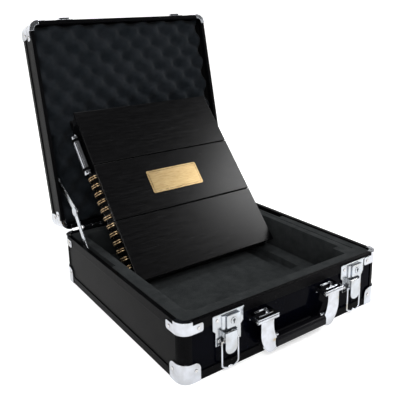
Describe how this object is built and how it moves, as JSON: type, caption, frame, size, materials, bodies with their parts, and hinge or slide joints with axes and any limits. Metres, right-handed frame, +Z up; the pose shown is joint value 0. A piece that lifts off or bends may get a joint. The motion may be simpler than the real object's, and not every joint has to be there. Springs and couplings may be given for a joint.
{
  "type": "hard carrying case with portfolio",
  "caption": "Black hard case with open lid, egg-crate lid foam, foam well, two bail latches and a drop handle, holding a leaning ring-bound portfolio with a blank plate.",
  "frame": {"origin": "middle of the case's flat underside", "axes": "+X right along the front, -Y the front with latches and handle, +Y the hinge side, +Z up"},
  "size_m": [0.314, 0.4319, 0.3803],
  "materials": {
    "frame_black": "satin black anodised",
    "board_gloss": "glossy black laminate",
    "board_satin": "satin black laminate",
    "chrome": "polished chrome",
    "nickel": "nickel plated, lightly brushed",
    "steel_pins": "plated steel",
    "base_foam": "closed-cell foam",
    "lid_foam": "egg-crate foam",
    "grip": "moulded plastic",
    "cover_board": "black stained, fine grain",
    "liner": "book cloth",
    "leaves": "dark card leaves",
    "binding": "bronze wire",
    "plate_brass": "brushed brass"
  },
  "bodies": {
    "base": {"base_rim": "frame_black", "base_outer_edge": "frame_black", "base_corner_posts": "frame_black", "base_front_back_boards": "board_gloss", "base_side_boards": "board_satin", "base_outer_board": "board_satin", "base_rim_corners": "chrome", "base_outer_corners": "chrome", "base_corner_rivets": "steel_pins", "base_foam_floor": "base_foam", "base_foam_border": "base_foam", "hinge_base_leaves": "nickel", "hinge_pins": "steel_pins", "stay_base_brackets": "nickel", "latch_plate_left": "nickel", "latch_plate_right": "nickel", "latch_pins": "steel_pins", "handle_bracket_left": "chrome", "handle_bracket_right": "chrome", "handle_pins": "steel_pins", "hardware_rivets": "steel_pins"},
    "lid": {"lid_rim": "frame_black", "lid_outer_edge": "frame_black", "lid_corner_posts": "frame_black", "lid_front_back_boards": "board_gloss", "lid_side_boards": "board_satin", "lid_outer_board": "board_satin", "lid_rim_corners": "chrome", "lid_outer_corners": "chrome", "lid_corner_rivets": "steel_pins", "lid_foam": "lid_foam", "hinge_lid_leaves": "nickel", "stay_lid_brackets": "nickel", "lid_catch_left": "chrome", "lid_catch_right": "chrome"},
    "handle": {"handle_arm_left": "chrome", "handle_arm_right": "chrome", "handle_grip": "grip"},
    "portfolio": {"book_back_cover": "cover_board", "book_leaves": "leaves", "book_spine_strip": "frame_black", "book_rings": "binding", "book_edge_rod": "chrome"},
    "portfolio_cover": {"cover_plank_lower": "cover_board", "cover_plank_middle": "cover_board", "cover_plank_upper": "cover_board", "cover_liner": "liner", "name_plate": "plate_brass", "name_plate_screws": "plate_brass"},
    "latch_lever_left": {"latch_lever_left": "nickel"},
    "latch_bail_left": {"latch_bail_left": "chrome"},
    "lock_cylinder_left": {"lock_cylinder_left": "nickel"},
    "stay_lower_left": {"stay_lower_link_left": "nickel"},
    "stay_upper_left": {"stay_upper_link_left": "nickel"},
    "latch_lever_right": {"latch_lever_right": "nickel"},
    "latch_bail_right": {"latch_bail_right": "chrome"},
    "lock_cylinder_right": {"lock_cylinder_right": "nickel"},
    "stay_lower_right": {"stay_lower_link_right": "nickel"},
    "stay_upper_right": {"stay_upper_link_right": "nickel"}
  },
  "joints": [
    {"name": "lid_hinge", "type": "hinge", "parent": "base", "child": "lid", "pos_m": [0, 0.1569, 0.0726], "axis": [1, 0, 0], "range_deg": [0, 102]},
    {"name": "portfolio_lift", "type": "slide", "parent": "base", "child": "portfolio", "axis": [0, -0.9397, 0.342], "range_m": [0, 0.55]},
    {"name": "cover_hinge", "type": "hinge", "parent": "portfolio", "child": "portfolio_cover", "pos_m": [-0.1185, 0.00341, 0.04206], "axis": [0, -0.6534, -0.757], "range_deg": [0, 100]},
    {"name": "handle_swing", "type": "hinge", "parent": "base", "child": "handle", "pos_m": [0.003, -0.1681, 0.0503], "axis": [-1, 0, 0], "range_deg": [-6, 95]},
    {"name": "latch_lever_flip_left", "type": "hinge", "parent": "base", "child": "latch_lever_left", "pos_m": [-0.0956, -0.159, 0.046], "axis": [-1, 0, 0], "range_deg": [0, 110]},
    {"name": "latch_bail_swing_left", "type": "hinge", "parent": "latch_lever_left", "child": "latch_bail_left", "pos_m": [-0.0956, -0.1596, 0.038], "axis": [-1, 0, 0], "range_deg": [0, 70]},
    {"name": "lock_turn_left", "type": "hinge", "parent": "base", "child": "lock_cylinder_left", "pos_m": [-0.0899, -0.158, 0.0585], "axis": [0, -1, 0], "range_deg": [0, 90]},
    {"name": "stay_foot_pivot_left", "type": "hinge", "parent": "base", "child": "stay_lower_left", "pos_m": [-0.1475, 0.086, 0.062], "axis": [1, 0, 0], "range_deg": [0, 138.65]},
    {"name": "stay_head_pivot_left", "type": "hinge", "parent": "lid", "child": "stay_upper_left", "pos_m": [-0.1457, 0.18558, 0.14308], "axis": [1, 0, 0], "range_deg": [-95.49, 0]},
    {"name": "latch_lever_flip_right", "type": "hinge", "parent": "base", "child": "latch_lever_right", "pos_m": [0.104, -0.159, 0.046], "axis": [-1, 0, 0], "range_deg": [0, 110]},
    {"name": "latch_bail_swing_right", "type": "hinge", "parent": "latch_lever_right", "child": "latch_bail_right", "pos_m": [0.104, -0.1596, 0.038], "axis": [-1, 0, 0], "range_deg": [0, 70]},
    {"name": "lock_turn_right", "type": "hinge", "parent": "base", "child": "lock_cylinder_right", "pos_m": [0.1097, -0.158, 0.0585], "axis": [0, -1, 0], "range_deg": [0, 90]},
    {"name": "stay_foot_pivot_right", "type": "hinge", "parent": "base", "child": "stay_lower_right", "pos_m": [0.1475, 0.086, 0.062], "axis": [1, 0, 0], "range_deg": [0, 138.65]},
    {"name": "stay_head_pivot_right", "type": "hinge", "parent": "lid", "child": "stay_upper_right", "pos_m": [0.1457, 0.18558, 0.14308], "axis": [1, 0, 0], "range_deg": [-95.49, 0]}
  ],
  "couplings": [
    {"joint": "portfolio_lift", "follows": "lid_hinge", "m_per_rad": 0.30895},
    {"joint": "stay_foot_pivot_left", "follows": "lid_hinge", "ratio": 1.3594},
    {"joint": "stay_head_pivot_left", "follows": "lid_hinge", "ratio": -0.93618},
    {"joint": "stay_foot_pivot_right", "follows": "lid_hinge", "ratio": 1.3594},
    {"joint": "stay_head_pivot_right", "follows": "lid_hinge", "ratio": -0.93618}
  ]
}
